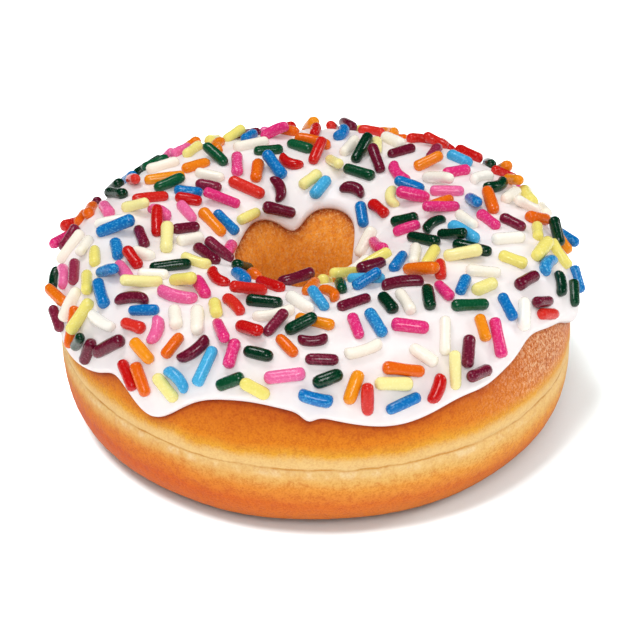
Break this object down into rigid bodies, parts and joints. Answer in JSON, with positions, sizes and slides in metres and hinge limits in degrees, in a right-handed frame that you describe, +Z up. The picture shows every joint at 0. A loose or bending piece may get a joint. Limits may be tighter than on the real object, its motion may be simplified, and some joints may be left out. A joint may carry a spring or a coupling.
{
  "type": "sprinkle frosted doughnut",
  "caption": "Raised ring doughnut with a crease round its side, white icing running down in soft lobes and rod sprinkles set in the icing.",
  "frame": {"origin": "under the middle of the outline, on the surface that the doughnut rests on", "axes": "+Z up through the doughnut's thickness; -Y is the side that the picture was taken from; +X is the picture's right"},
  "size_m": [0.0966, 0.0937, 0.0404],
  "materials": {
    "dough": "fried crust, browned near the icing and below, pale along the crease",
    "icing": "glossy white sugar icing with sprinkles in several colours"
  },
  "bodies": {
    "root": {"dough": "dough", "icing": "icing"}
  },
  "joints": []
}
